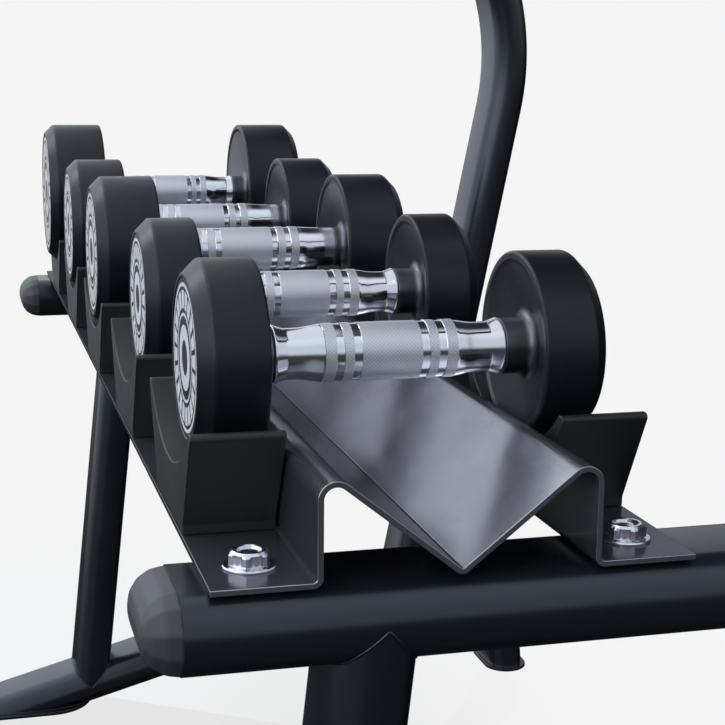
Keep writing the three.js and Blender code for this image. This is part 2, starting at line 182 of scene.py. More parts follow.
# ---- materials ----------------------------------------------------------------------------
class Paint(Nodes):
    """A Principled material that starts from plain values."""

    def __init__(self, name, colour, roughness, metallic=0.0, specular=0.5):
        self.material = bpy.data.materials.new(name)
        self.material.use_nodes = True
        super().__init__(self.material.node_tree)
        self.shader = self.tree.nodes["Principled BSDF"]
        self.shader.inputs["Base Color"].default_value = (*colour, 1)
        self.shader.inputs["Roughness"].default_value = roughness
        self.shader.inputs["Metallic"].default_value = metallic
        self.shader.inputs["Specular IOR Level"].default_value = specular
        self.place = self.node("ShaderNodeTexCoord").outputs["Object"]
        self.relief = None

    def stretched(self, scales):
        """Object coordinates stretched by a scale for each axis."""
        mapping = self.node("ShaderNodeMapping")
        self.feed(mapping.inputs["Scale"], scales)
        self.feed(mapping.inputs["Vector"], self.place)
        return mapping.outputs["Vector"]

    def noise(self, scale, detail, rough=0.5, place=None, distortion=0.0):
        noise = self.node("ShaderNodeTexNoise")
        self.feed(noise.inputs["Scale"], scale)
        self.feed(noise.inputs["Detail"], detail)
        self.feed(noise.inputs["Roughness"], rough)
        self.feed(noise.inputs["Distortion"], distortion)
        self.feed(noise.inputs["Vector"], place or self.place)
        return noise.outputs["Fac"]

    def roughness(self, value):
        self.feed(self.shader.inputs["Roughness"], value)

    def colours(self, factor, first, second):
        """Colours the material from first to second, each a plain colour or another node's."""
        mix = self.node("ShaderNodeMix", data_type="RGBA")
        self.feed(mix.inputs["Factor"], factor)
        for socket, colour in ((mix.inputs[6], first), (mix.inputs[7], second)):
            self.feed(socket, (*colour, 1) if isinstance(colour, tuple) else colour)
        self.feed(self.shader.inputs["Base Color"], mix.outputs[2])
        return mix.outputs[2]

    def bump(self, height, distance):
        """Adds a relief of that height in metres on top of the earlier ones."""
        bump = self.node("ShaderNodeBump")
        self.feed(bump.inputs["Distance"], distance)
        self.feed(bump.inputs["Strength"], 1.0)
        self.feed(bump.inputs["Height"], height)
        if self.relief is not None:
            self.feed(bump.inputs["Normal"], self.relief)
        self.relief = bump.outputs["Normal"]
        self.feed(self.shader.inputs["Normal"], self.relief)


def frame_paint():
    paint = Paint("satin_black_powder_coat", (0.010, 0.012, 0.016), 0.27, specular=0.72)
    paint.feed(paint.shader.inputs["Specular Tint"], (0.86, 0.93, 1.0, 1))
    cloud = paint.noise(11, 5, 0.6)
    paint.roughness(paint.ranged(cloud, 0.3, 0.7, 0.21, 0.31))
    paint.colours(cloud, (0.006, 0.008, 0.012), (0.012, 0.015, 0.021))
    paint.bump(paint.noise(650, 2), 0.000014)
    return paint.material


def tray_lacquer():
    paint = Paint("satin_grey_metal_lacquer", (0.36, 0.36, 0.39), 0.2, metallic=0.9)
    paint.feed(paint.shader.inputs["Specular Tint"], (0.16, 0.15, 0.16, 1))
    cloud = paint.noise(16, 6, 0.62, distortion=0.6)
    patches = paint.ranged(paint.noise(26, 3), 0.5, 0.68, 0.0, 1.0)
    grains = paint.ranged(paint.noise(620, 4, 0.7), 0.5, 0.72, 0.0, 1.0)
    marks = paint.math("MULTIPLY", patches, grains)
    base = paint.colours(cloud, (0.36, 0.36, 0.39), (0.46, 0.46, 0.495))
    paint.colours(marks, base, (0.20, 0.20, 0.22))
    uneven = paint.ranged(cloud, 0.3, 0.72, 0.14, 0.22)
    paint.roughness(paint.math("MULTIPLY_ADD", marks, 0.12, uneven))
    paint.bump(paint.noise(7, 2), 0.0012)
    paint.bump(marks, 0.00002)
    paint.bump(paint.noise(1500, 2), 0.000004)
    return paint.material


def moulded_plastic(name, dark, light, roughness, grain):
    paint = Paint(name, light, roughness, specular=0.42)
    cloud = paint.noise(18, 4, 0.6)
    paint.colours(cloud, dark, light)
    paint.roughness(paint.ranged(cloud, 0.3, 0.7, roughness - 0.05, roughness + 0.06))
    paint.bump(paint.noise(grain, 3, 0.6), 0.00004)
    paint.bump(paint.noise(60, 2), 0.0001)
    return paint.material


def head_coat():
    paint = Paint("black_urethane", (0.005, 0.007, 0.011), 0.36, specular=0.36)
    cloud = paint.noise(24, 5, 0.6)
    scuffs = paint.ranged(paint.noise(90, 5, 0.7), 0.6, 0.74, 0.0, 1.0)
    paint.colours(cloud, (0.004, 0.006, 0.009), (0.009, 0.011, 0.016))
    uneven = paint.ranged(cloud, 0.3, 0.7, 0.31, 0.40)
    paint.roughness(paint.math("MULTIPLY_ADD", scuffs, 0.07, uneven))
    paint.bump(paint.noise(900, 2), 0.000012)
    paint.bump(paint.noise(45, 2), 0.00012)
    return paint.material


def dish_metal():
    """Dark satin metal of the hub and of the dish round it."""
    paint = Paint("dark_satin_metal", (0.13, 0.132, 0.143), 0.33, metallic=1.0)
    cloud = paint.noise(40, 3, 0.5)
    paint.colours(cloud, (0.12, 0.122, 0.133), (0.145, 0.147, 0.158))
    paint.roughness(paint.ranged(cloud, 0.3, 0.7, 0.30, 0.36))
    return paint.material


def chrome_plate():
    paint = Paint("bright_chrome", (0.84, 0.86, 0.90), 0.1, metallic=1.0)
    smear = paint.noise(60, 4, 0.6)
    paint.roughness(paint.ranged(smear, 0.3, 0.7, 0.08, 0.16))
    paint.bump(paint.noise(140, 2), 0.00003)
    return paint.material


KNURL_TEETH = 90  # round the handle
KNURL_PITCH = 1.05 * MM  # along the handle


def knurled_chrome():
    """Diamond knurl drawn in the handle's own map: u runs once round it, v is metres along it."""
    paint = Paint("knurled_chrome", (0.80, 0.81, 0.86), 0.4, metallic=0.8)
    turns = paint.node("ShaderNodeUVMap", uv_map="turns")
    parts = paint.node("ShaderNodeSeparateXYZ")
    paint.feed(parts.inputs["Vector"], turns.outputs["UV"])
    around = paint.math("MULTIPLY", parts.outputs["X"], KNURL_TEETH)
    along = paint.math("MULTIPLY", parts.outputs["Y"], 1 / KNURL_PITCH)
    ridges = [
        paint.math("PINGPONG", paint.math(operation, around, along), 1.0)
        for operation in ("ADD", "SUBTRACT")]
    diamond = paint.math("MULTIPLY", *ridges)
    worn = paint.noise(90, 4, 0.6)
    # Base colour darker where the knurl is low: painted shade in the grooves between the diamonds,
    # lighter on the peaks.
    paint.colours(diamond, (0.68, 0.69, 0.74), (0.95, 0.96, 0.99))
    paint.roughness(paint.ranged(worn, 0.3, 0.7, 0.38, 0.50))
    paint.bump(diamond, 0.00014)
    return paint.material


def zinc_plate():
    paint = Paint("bright_zinc", (0.78, 0.79, 0.83), 0.2, metallic=1.0)
    streaks = paint.noise(120, 3, 0.6, paint.stretched((1, 1, 4)))
    paint.colours(streaks, (0.70, 0.71, 0.75), (0.86, 0.87, 0.91))
    paint.roughness(paint.ranged(streaks, 0.3, 0.7, 0.14, 0.24))
    paint.bump(paint.noise(300, 2), 0.00001)
    return paint.material


def printed_white():
    paint = Paint("worn_white_print", (0.80, 0.80, 0.80), 0.5)
    worn = paint.ranged(paint.noise(520, 4, 0.7), 0.62, 0.66, 0.0, 1.0)
    paint.colours(worn, (0.78, 0.78, 0.78), (0.10, 0.10, 0.10))
    paint.bump(paint.noise(900, 2), 0.00003)
    return paint.material


PAINT = frame_paint()
LACQUER = tray_lacquer()
CAP_PLASTIC = moulded_plastic(
    "grained_cap_plastic", (0.040, 0.041, 0.046), (0.064, 0.065, 0.071), 0.46, 1300)
SADDLE_PLASTIC = moulded_plastic(
    "grained_saddle_plastic", (0.010, 0.011, 0.012), (0.018, 0.018, 0.019), 0.44, 1600)
URETHANE = head_coat()
DISH_METAL = dish_metal()
CHROME = chrome_plate()
KNURL = knurled_chrome()
ZINC = zinc_plate()
WHITE_PRINT = printed_white()


# ---- mesh helpers -------------------------------------------------------------------------
def make_piece(name, points, faces, materials, smooth_angle=40):
    """A mesh object, smooth except at edges sharper than an angle in degrees."""
    mesh = bpy.data.meshes.new(name)
    mesh.from_pydata([tuple(p) for p in points], [], faces)
    mesh.shade_smooth()
    mesh.set_sharp_from_angle(angle=math.radians(smooth_angle))
    for material in materials:
        mesh.materials.append(material)
    piece = bpy.data.objects.new(name, mesh)
    scene.collection.objects.link(piece)
    return piece


def loft(rings, closed=False):
    """Points and faces of a skin through rings of equally many points, with lids unless closed."""
    count = len(rings[0])
    points = [p for ring in rings for p in ring]
    faces = []
    spans = len(rings) if closed else len(rings) - 1
    for i in range(spans):
        here = i * count
        there = ((i + 1) % len(rings)) * count
        for k in range(count):
            after = (k + 1) % count
            faces.append((here + k, here + after, there + after, there + k))
    if not closed:
        faces.append(tuple(reversed(range(count))))
        last = (len(rings) - 1) * count
        faces.append(tuple(range(last, last + count)))
    return points, faces


def join_shapes(shapes):
    """Points and faces of several shapes as one."""
    points = []
    faces = []
    for more_points, more_faces in shapes:
        start = len(points)
        points.extend(more_points)
        faces.extend(tuple(start + i for i in face) for face in more_faces)
    return points, faces


def outward(piece):
    """Turns the faces of a closed mesh outwards."""
    shape = bmesh.new()
    shape.from_mesh(piece.data)
    bmesh.ops.recalc_face_normals(shape, faces=shape.faces)
    shape.to_mesh(piece.data)
    shape.free()


def soften(piece, width, segments=3, angle=50):
    """Rounds the edges of a piece that are sharper than an angle in degrees."""
    bevel = piece.modifiers.new("rounded_edges", "BEVEL")
    bevel.width = width
    bevel.segments = segments
    bevel.limit_method = "ANGLE"
    bevel.angle_limit = math.radians(angle)
    bevel.harden_normals = True
    flat = piece.modifiers.new("flat_faces", "WEIGHTED_NORMAL")
    flat.keep_sharp = False


def finish_piece(piece, body, slot, *nodes):
    """Puts a piece on its body and in place of its CAD nodes."""
    outward(piece)
    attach(piece, body)
    if nodes:
        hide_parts(*nodes)


def arc(middle, radius, start, end, steps):
    """Points of an arc in a plane, from one angle to another."""
    return [
        Vector((
            middle[0] + radius * math.cos(start + (end - start) * i / steps),
            middle[1] + radius * math.sin(start + (end - start) * i / steps)))
        for i in range(steps + 1)]


def rounded_line(corners, steps, closed=False):
    """A line in a plane through corners of (x, y, radius), each rounded to its radius."""
    line = []
    count = len(corners)
    for i, (x, y, radius) in enumerate(corners):
        here = Vector((x, y))
        is_end = not closed and i in (0, count - 1)
        if radius == 0 or is_end:
            line.append(here)
            continue
        back = (Vector(corners[i - 1][:2]) - here).normalized()
        ahead = (Vector(corners[(i + 1) % count][:2]) - here).normalized()
        half = back.angle(ahead) / 2
        middle = here + (back + ahead).normalized() * (radius / math.sin(half))
        touch = radius / math.tan(half)
        first = here + back * touch - middle
        last = here + ahead * touch - middle
        start = math.atan2(first.y, first.x)
        turn = math.remainder(math.atan2(last.y, last.x) - start, FULL_TURN)
        line.extend(arc(middle, radius, start, start + turn, steps))
    return line


def smooth_line(points, steps=5):
    """A smooth curve through points of a plane."""
    padded = [points[0], *points, points[-1]]
    line = []
    for i in range(1, len(padded) - 2):
        a, b, c, d = (Vector(p) for p in padded[i - 1:i + 3])
        for k in range(steps):
            t = k / steps
            line.append(0.5 * (
                2 * b + (c - a) * t + (2 * a - 5 * b + 4 * c - d) * t ** 2
                + (3 * b - a - 3 * c + d) * t ** 3))
    line.append(Vector(points[-1]))
    return line


TURNED_SEGMENTS = 128


def turned(profile, place, outward_y):
    """Rings round the Y axis through place, from a profile of (radius, distance along Y)."""
    angles = [FULL_TURN * k / TURNED_SEGMENTS for k in range(TURNED_SEGMENTS)]
    return [
        [Vector((
            place.x + radius * math.cos(angle),
            place.y + outward_y * along,
            place.z + radius * math.sin(angle)))
            for angle in angles]
        for radius, along in profile]


# ---- flat-oval tubes ----------------------------------------------------------------------
ROUND_STEPS = 20  # segments on each round side of a tube
SEAM_STEPS = 28  # the same for a weld's line and for a foot plate
BASE_BEND_STEPS = 40
UPRIGHT_BEND_STEPS = 48
HALVINGS = 30  # of the span in which a tube leaves another's surface


def oval(wide, thin, steps=ROUND_STEPS):
    """Outline of a flat oval, wide along x."""
    straight = (wide - thin) / 2
    return (
        arc((straight, 0), thin / 2, -math.pi / 2, math.pi / 2, steps)
        + arc((-straight, 0), thin / 2, math.pi / 2, 3 * math.pi / 2, steps))


def half_thickness(x):
    """Half the tube's thickness at a place across its width."""
    beyond = max(0.0, abs(x) - (TUBE_WIDE - TUBE_THIN) / 2)
    return math.sqrt(max(0.0, (TUBE_THIN / 2) ** 2 - beyond ** 2))


def across(path, i):
    """Mitred direction across a path in the YZ plane at point i."""
    before = path[i] - path[i - 1] if i > 0 else path[i + 1] - path[i]
    after = path[i + 1] - path[i] if i + 1 < len(path) else before
    before = before.normalized()
    after = after.normalized()
    along = (before + after).normalized()
    return Vector((-along.y, along.x)) / along.dot(after)


def tube_rings(path, x):
    section = oval(TUBE_WIDE, TUBE_THIN)
    rings = []
    for i, point in enumerate(path):
        side = across(path, i)
        rings.append([Vector((x + p.x, point.x + side.x * p.y, point.y + side.y * p.y)) for p in section])
    return rings


def base_path():
    slope = math.tan(BASE_SLOPE)
    start_y = BACK_FOOT_Y - BASE_BEND - BASE_BEND * math.sin(BASE_SLOPE)
    start_z = PLATE + (start_y - BASE_FRONT_Y) * slope
    middle = (BACK_FOOT_Y - BASE_BEND, start_z - BASE_BEND * math.cos(BASE_SLOPE))
    front = Vector((BASE_FRONT_Y, PLATE))
    bend = arc(middle, BASE_BEND, math.pi / 2 + BASE_SLOPE, 0, BASE_BEND_STEPS)
    return [front, *bend, Vector((BACK_FOOT_Y, PLATE))]


def upright_path():
    middle_z = UPPER_ARM_Z - UPRIGHT_BEND
    start_z = middle_z - UPRIGHT_BEND * math.sin(UPRIGHT_LEAN)
    start_y = UPRIGHT_Y + (start_z - LOWER_ARM_Z) * math.tan(UPRIGHT_LEAN)
    middle = (start_y - UPRIGHT_BEND * math.cos(UPRIGHT_LEAN), middle_z)
    foot_y = UPRIGHT_Y - (LOWER_ARM_Z - UPRIGHT_FOOT_Z) * math.tan(UPRIGHT_LEAN)
    bend = arc(middle, UPRIGHT_BEND, -UPRIGHT_LEAN, math.pi / 2, UPRIGHT_BEND_STEPS)
    return [Vector((foot_y, UPRIGHT_FOOT_Z)), *bend, Vector((ARM_FRONT_Y, UPPER_ARM_Z))]


def leg_path():
    lean = math.tan(LEG_LEAN)
    slope = math.tan(BASE_SLOPE)
    floor_y = LEG_Y - LOWER_ARM_Z * lean
    foot_z = (PLATE + (floor_y - BASE_FRONT_Y) * slope) / (1 - slope * lean)
    return [Vector((floor_y + foot_z * lean, foot_z)), Vector((LEG_Y, LOWER_ARM_Z))]


def arm_path():
    return [Vector((ARM_FRONT_Y, LOWER_ARM_Z)), Vector((UPRIGHT_Y, LOWER_ARM_Z))]


def cut_level(ring, path):
    """Slides the points of a tube's first ring along the tube until they lie on the foot plate."""
    along = (path[1] - path[0]).normalized()
    for p in ring:
        slide = (PLATE - p.z) / along.y
        p.y += along.x * slide
        p.z = PLATE


def distance_to(path, point):
    """Distance from a point of the YZ plane to a path."""
    nearest = math.inf
    for a, b in zip(path, path[1:]):
        span = b - a
        share = min(1.0, max(0.0, (point - a).dot(span) / span.length_squared))
        nearest = min(nearest, (point - a - span * share).length)
    return nearest


def junction(path, other, x):
    """Closed line where a tube that starts on the axis of another leaves that other's surface."""
    along = (path[1] - path[0]).normalized()
    side = Vector((-along.y, along.x))
    line = []
    for p in oval(TUBE_WIDE, TUBE_THIN, SEAM_STEPS):
        inside = 0.0
        outside = 2 * TUBE_THIN
        for _ in range(HALVINGS):
            middle = (inside + outside) / 2
            reached = path[0] + side * p.y + along * middle
            if distance_to(other, reached) < half_thickness(p.x):
                inside = middle
            else:
                outside = middle
        reached = path[0] + side * p.y + along * inside
        line.append(Vector((x + p.x, reached.x, reached.y)))
    return line


def evenly(line, spacing):
    """The same closed line with its points the same distance apart."""
    closed = [*line, line[0]]
    lengths = [(b - a).length for a, b in zip(closed, closed[1:])]
    count = round(sum(lengths) / spacing)
    step = sum(lengths) / count
    even = []
    covered = 0.0
    for (a, b), length in zip(zip(closed, closed[1:]), lengths):
        while len(even) < count and len(even) * step < covered + length:
            even.append(a.lerp(b, (len(even) * step - covered) / length))
        covered += length
    return even


BEAD_RADIUS = 0.8 * MM
BEAD_RIPPLE = 5.2 * MM  # length of one ripple of the weld
BEAD_SWELL = 0.09  # share of the radius by which a ripple is thicker
BEAD_SPACING = 1.3 * MM
BEAD_SIDES = 10


def weld_bead(line):
    """A rippled weld bead along a closed line."""
    line = evenly(line, BEAD_SPACING)
    middle = sum(line, Vector()) / len(line)
    rings = []
    for i, point in enumerate(line):
        along = (line[(i + 1) % len(line)] - line[i - 1]).normalized()
        out = point - middle
        out = (out - along * out.dot(along)).normalized()
        up = along.cross(out)
        ripple = math.cos(FULL_TURN * i * BEAD_SPACING / BEAD_RIPPLE)
        radius = BEAD_RADIUS * (1 + BEAD_SWELL * ripple)
        rings.append([
            point + (out * math.cos(a) + up * math.sin(a)) * radius
            for a in (FULL_TURN * k / BEAD_SIDES for k in range(BEAD_SIDES))])
    return loft(rings, closed=True)


def build_end_frame(side):
    x = centre(f"{side}_upright").x
    base = base_path()
    upright = upright_path()
    leg = leg_path()
    arm = arm_path()
    base_rings = tube_rings(base, x)
    cut_level(base_rings[0], base)
    tubes = {
        "base_tube": base_rings,
        "front_leg": tube_rings(leg, x),
        "lower_crossbar": tube_rings(arm, x),
        "upright": tube_rings(upright, x),
    }
    for part, rings in tubes.items():
        tube = make_piece(f"{side}_{part}_tube", *loft(rings), [PAINT], 60)
        finish_piece(tube, "rack", "frame_paint", f"{side}_{part}")
    seams = {
        "leg_foot": junction(leg, base, x),
        "leg_top": junction(leg[::-1], arm, x),
        "upright_foot": junction(upright, base, x),
        "crossbar_end": junction(arm[::-1], upright, x),
        "front_foot": base_rings[0],
        "back_foot": base_rings[-1],
    }
    for part, line in seams.items():
        weld = make_piece(f"{side}_{part}_weld", *weld_bead(line), [PAINT], 70)
        finish_piece(weld, "rack", "frame_paint")


# ---- end caps and foot plates -------------------------------------------------------------
CAP_FACETS = 5  # on each round side
CAP_RINGS = 4
CAP_LIP = 0.8 * MM  # how much wider than the tube the cap's edge is
CAP_TUCK = 2 * MM  # how far its edge turns in where it enters the tube
CAP_DRAW = 18 * MM  # how far the dome draws in from the tube's outline
CAP_TIP_DRAW = 0.93 * CAP_DRAW  # the same for the flat tip
CAP_GAP = 0.1 * MM  # seam between the tube's end and the cap


def build_end_cap(node):
    """Moulded dome with soft facets, its edge turned into the tube."""
    middle = centre(node)
    seam = ARM_FRONT_Y - CAP_GAP
    depth = seam - CAP_TIP_Y
    inner = oval(TUBE_WIDE - 2 * CAP_TUCK, TUBE_THIN - 2 * CAP_TUCK, CAP_FACETS)
    rings = [[Vector((middle.x + p.x, seam + 2 * CAP_TUCK, middle.z + p.y)) for p in inner]]
    for i in range(CAP_RINGS):
        angle = math.pi / 2 * i / CAP_RINGS
        inset = CAP_DRAW * (1 - math.cos(angle))
        y = seam - depth * math.sin(angle)
        lip = CAP_LIP - 2 * inset
        outline = oval(TUBE_WIDE + lip, TUBE_THIN + lip, CAP_FACETS)
        rings.append([Vector((middle.x + p.x, y, middle.z + p.y)) for p in outline])
    tip = oval(TUBE_WIDE - 2 * CAP_TIP_DRAW, TUBE_THIN - 2 * CAP_TIP_DRAW, CAP_FACETS)
    rings.append([Vector((middle.x + p.x, CAP_TIP_Y, middle.z + p.y)) for p in tip])
    cap = make_piece(f"{node}_dome", *loft(rings), [CAP_PLASTIC], 80)
    soften(cap, 2.0 * MM, 3, 7)
    finish_piece(cap, "rack", "cap_plastic", node)


def build_foot_plate(node):
    middle = centre(node)
    width = extent(node)
    wide = max(width.x, width.y)
    thin = min(width.x, width.y)
    outline = oval(wide, thin, SEAM_STEPS)
    if width.y > width.x:
        outline = [Vector((p.y, p.x)) for p in outline]
    rings = [[Vector((middle.x + p.x, middle.y + p.y, z)) for p in outline] for z in (0.0, PLATE)]
    plate = make_piece(f"{node}_rounded", *loft(rings), [PAINT])
    soften(plate, 0.9 * MM)
    finish_piece(plate, "rack", "frame_paint", node)


# ---- trays --------------------------------------------------------------------------------
TRAY_SPANS = 24  # along the sheet


def tray_outline(height):
    """Outline of the folded sheet in the (y, z) plane, with z from the underside of the flanges."""
    half_width = extent("lower_tray").y / 2
    bend = RIDGE_RADIUS - SHEET / 2
    valley = Vector((0, SHEET / 2 + VALLEY_RISE))
    to_middle = Vector((WEB_HALF_WIDTH - RIDGE_RADIUS, height - RIDGE_RADIUS)) - valley
    slope = math.atan2(to_middle.y, to_middle.x) + math.asin(bend / to_middle.length)
    web = WEB_HALF_WIDTH - SHEET / 2
    corners = [
        (half_width, SHEET / 2, 0),
        (web, SHEET / 2, 3.5 * MM),
        (web, valley.y + web * math.tan(slope), bend),
    ]
    mirrored = [(-y, z, radius) for y, z, radius in corners]
    line = rounded_line([*mirrored, (0, valley.y, 2.6 * MM), *reversed(corners)], 10)
    over = [p + across(line, i) * (SHEET / 2) for i, p in enumerate(line)]
    under = [p - across(line, i) * (SHEET / 2) for i, p in enumerate(line)]
    return [*over, *reversed(under)]


def build_tray(node):
    low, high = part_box(node)
    outline = tray_outline(high.z - low.z)
    rings = []
    for i in range(TRAY_SPANS + 1):
        x = low.x + (high.x - low.x) * i / TRAY_SPANS
        rings.append([Vector((x, TRAY_Y + p.x, low.z + p.y)) for p in outline])
    tray = make_piece(f"{node}_sheet", *loft(rings), [LACQUER], 35)
    soften(tray, 0.45 * MM)
    finish_piece(tray, "rack", "tray_sheet", node)


# ---- bolts --------------------------------------------------------------------------------
HEX_APOTHEM = 9.2 * MM
NUT_HEIGHT = 7.4 * MM
NUT_FLAT = 8.1 * MM  # radius of the flat ring on top
WASHER = 13 * MM
WASHER_THICKNESS = 1.4 * MM
STUD = 5.2 * MM
STUD_DROP = 1.2 * MM  # from the nut's top down to the bolt's end
THREAD = 1.6 * MM
THREAD_DEPTH = 0.35 * MM
THREAD_TURNS = 3  # as many as can be seen
STUD_SEGMENTS = 48
STUD_BEVEL = 0.5 * MM  # height of the bevelled end
NUT_TURN = math.radians(11)  # of the right front nut
SIDE_TURN = math.radians(17)  # how much further the left nuts are turned
ROW_TURN = math.radians(23)  # how much further the back nuts are turned


def hexagon_radius(angle):
    sixth = FULL_TURN / 6
    return HEX_APOTHEM / math.cos((angle + sixth / 2) % sixth - sixth / 2)


def level_ring(place, height, radius_at, segments=96, turn=0.0):
    """Ring round the Z axis through place, with a radius for each angle."""
    ring = []
    for k in range(segments):
        angle = FULL_TURN * k / segments
        radius = radius_at(angle)
        ring.append(place + Vector((
            radius * math.cos(angle + turn), radius * math.sin(angle + turn), height)))
    return ring


def nut_shape(place, turn):
    """Hexagon nut with chamfered corners and a recess round the bolt in its top."""
    corner = HEX_APOTHEM / math.cos(math.pi / 6)
    profile = (
        (HEX_APOTHEM, 0.0), (corner, 0.6 * MM), (corner, NUT_HEIGHT - 2.1 * MM),
        (HEX_APOTHEM * 1.03, NUT_HEIGHT - 1.2 * MM), (NUT_FLAT + 0.4 * MM, NUT_HEIGHT - 0.35 * MM),
        (NUT_FLAT, NUT_HEIGHT), (STUD + 1.5 * MM, NUT_HEIGHT), (STUD + 0.9 * MM, NUT_HEIGHT - 0.3 * MM),
        (STUD + 0.2 * MM, NUT_HEIGHT - 1.6 * MM), (STUD, NUT_HEIGHT - 3.2 * MM))
    rings = [
        level_ring(place, height, lambda a, c=limit: min(c, hexagon_radius(a)), turn=turn)
        for limit, height in profile]
    return loft(rings)


def washer_shape(place):
    profile = (
        (STUD, 0.0), (WASHER - 0.3 * MM, 0.0), (WASHER, 0.3 * MM), (WASHER, WASHER_THICKNESS - 0.5 * MM),
        (WASHER - 0.5 * MM, WASHER_THICKNESS), (STUD, WASHER_THICKNESS))
    rings = [level_ring(place, height, lambda _, r=radius: r) for radius, height in profile]
    return loft(rings, closed=True)


def stud_shape(place):
    """Threaded end of the bolt, seen in the nut's recess."""
    rings = []
    top = NUT_HEIGHT - STUD_DROP
    flanks = 2 * THREAD_TURNS
    for i in range(flanks + 1):
        radius = STUD - THREAD_DEPTH if i % 2 else STUD
        height = top - (flanks - i) * THREAD / 2 - STUD_BEVEL
        rings.append(level_ring(place, height, lambda _, r=radius: r, STUD_SEGMENTS))
    rings.append(level_ring(place, top, lambda _: STUD - 2 * STUD_BEVEL, STUD_SEGMENTS))
    return loft(rings)


def build_bolt(name, place, turn, *nodes):
    nut_base = place + Vector((0, 0, WASHER_THICKNESS))
    shapes = join_shapes([washer_shape(place), nut_shape(nut_base, turn), stud_shape(nut_base)])
    bolt = make_piece(f"{name}_nut", *shapes, [ZINC], 22)
    finish_piece(bolt, "rack", "zinc_fastener", *nodes)


def build_bolts():
    for s, side in enumerate(SIDES):
        x = centre(f"{side}_upright").x
        for r, (row, sign) in enumerate(ROWS):
            turn = NUT_TURN + s * SIDE_TURN + r * ROW_TURN
            y = TRAY_Y + sign * BOLT_OFFSET_Y
            for tier in TIERS:
                flange_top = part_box(f"{tier}_tray")[0].z + SHEET
                nodes = [f"{side}_{row}_tray_bolt"] if tier == "lower" else []
                build_bolt(f"{tier}_{side}_{row}_tray", Vector((x, y, flange_top)), turn, *nodes)


# ---- saddles ------------------------------------------------------------------------------
CRADLE_SHARE = 0.93  # how much of the cradle is round, the rest being its rounded lips
CRADLE_STEPS = 22


def saddle_outline(size):
    """Outline in the (x, z) plane, with z from the foot, flared and with a shallow round cradle."""
    height = size.z
    top = size.x / 2
    foot = SADDLE_FOOT / 2
    middle_z = CRADLE_FLOOR + CRADLE_RADIUS
    reach = math.acos((middle_z - height) / CRADLE_RADIUS)
    lip = CRADLE_RADIUS * math.sin(reach)
    swing = reach * CRADLE_SHARE
    cradle = arc((0, middle_z), CRADLE_RADIUS, -math.pi / 2 + swing, -math.pi / 2 - swing, CRADLE_STEPS)
    right = [
        (foot, 0, 0.8 * MM), (foot, SADDLE_STEP, 2 * MM),
        (top, height, 2.6 * MM), (lip, height, 2.2 * MM)]
    left = [(-x, z, radius) for x, z, radius in reversed(right)]
    return rounded_line([*right, *[(p.x, p.y, 0) for p in cradle], *left], 5, closed=True)


def build_saddle(node):
    low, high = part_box(node)
    middle_x = (low.x + high.x) / 2
    outline = saddle_outline(high - low)
    rings = [[Vector((middle_x + p.x, y, low.z + p.y)) for p in outline] for y in (low.y, high.y)]
    saddle = make_piece(f"{node}_moulding", *loft(rings), [SADDLE_PLASTIC], 30)
    soften(saddle, 1.6 * MM, 4, 60)
    finish_piece(saddle, "rack", "saddle_plastic", node)


# ---- dumbbells ----------------------------------------------------------------------------
COLLAR = 16 * MM
GROOVE = 0.45 * MM  # depth of the plain grooves between the knurled bands
GROOVE_LENGTH = 4.3 * MM
BAND_TAPER = 0.08 * MM  # how much less a knurled band's radius is at its outer end
# Where the knurled bands of a grip start and end, from its middle.
SHORT_BANDS = ((0 * MM, 16.6 * MM), (21.2 * MM, 26.2 * MM), (30.7 * MM, 36.8 * MM))
LONG_BANDS = ((0 * MM, 20.4 * MM), (25.2 * MM, 31.2 * MM), (36.0 * MM, 42.5 * MM))
# From the right end of the rack, as in the CAD model. hub: how far a head's hub stands out from its
# inner rim. neck: the handle's least radius.
DUMBBELLS = (
    {"hub": 8.5 * MM, "bands": SHORT_BANDS, "neck": 13.9 * MM},
    {"hub": 8.5 * MM, "bands": SHORT_BANDS, "neck": 13.9 * MM},
    {"hub": 0.0, "bands": LONG_BANDS, "neck": 15.9 * MM},
    {"hub": 0.0, "bands": LONG_BANDS, "neck": 15.9 * MM},
    {"hub": 6.5 * MM, "bands": SHORT_BANDS, "neck": 15.0 * MM},
)


def handle_profile(grip, hub, bands, neck):
    """(radius, distance from the middle) for one half of the handle, up to just inside the hub."""
    profile = []
    for start, end in bands:
        profile.append((grip, start))
        profile.append((grip - BAND_TAPER, end))
        profile.append((grip - GROOVE, end + 0.15 * MM))
        profile.append((grip - GROOVE, end + GROOVE_LENGTH))
    profile.pop()
    knurl_end = bands[-1][1]
    end = HEAD_INNER - hub
    taper = end - 10.5 * MM - knurl_end
    flare = COLLAR - neck
    narrow = smooth_line([
        (grip - GROOVE, knurl_end + 1 * MM), (grip * 0.55 + neck * 0.45, knurl_end + 0.25 * taper),
        (grip * 0.15 + neck * 0.85, knurl_end + 0.55 * taper), (neck, knurl_end + 0.82 * taper),
        (neck, end - 8.4 * MM), (neck + 0.16 * flare, end - 6.6 * MM),
        (neck + 0.6 * flare, end - 3.8 * MM), (COLLAR, end - 1.3 * MM),
        (COLLAR - 0.4 * MM, end - 0.3 * MM)])
    profile.extend((p.x, p.y) for p in narrow)
    profile.append((COLLAR - 1.2 * MM, end))
    profile.append((COLLAR - 3 * MM, end + 0.6 * MM))
    return profile


